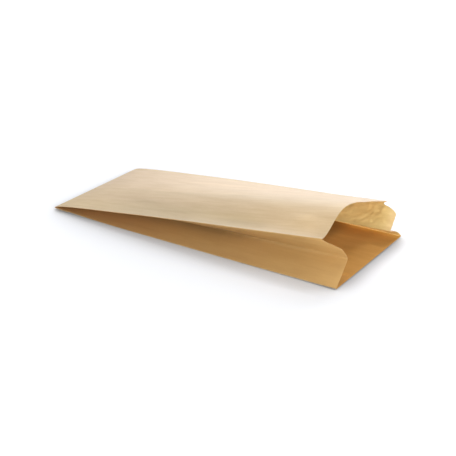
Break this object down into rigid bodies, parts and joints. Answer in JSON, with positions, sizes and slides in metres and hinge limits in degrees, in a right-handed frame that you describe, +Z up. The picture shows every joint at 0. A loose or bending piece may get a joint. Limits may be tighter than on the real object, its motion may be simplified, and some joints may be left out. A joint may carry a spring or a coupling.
{
  "type": "paper bag",
  "caption": "Flat brown kraft paper bag with side gussets and a folded, glued end, lying on its back with the mouth part open.",
  "frame": {"origin": "under the middle of the bag, on the table", "axes": "+X along the bag to its open mouth, +Y across the bag to the side whose front fold lies lower, +Z up, away from the back panel it lies on"},
  "size_m": [0.3508, 0.1422, 0.0612],
  "materials": {
    "kraft_paper": "unbleached brown kraft paper, matt, with a faint gloss on the outside and fine fibre streaks along the bag"
  },
  "bodies": {
    "root": {"paper_bag": "kraft_paper"}
  },
  "joints": []
}
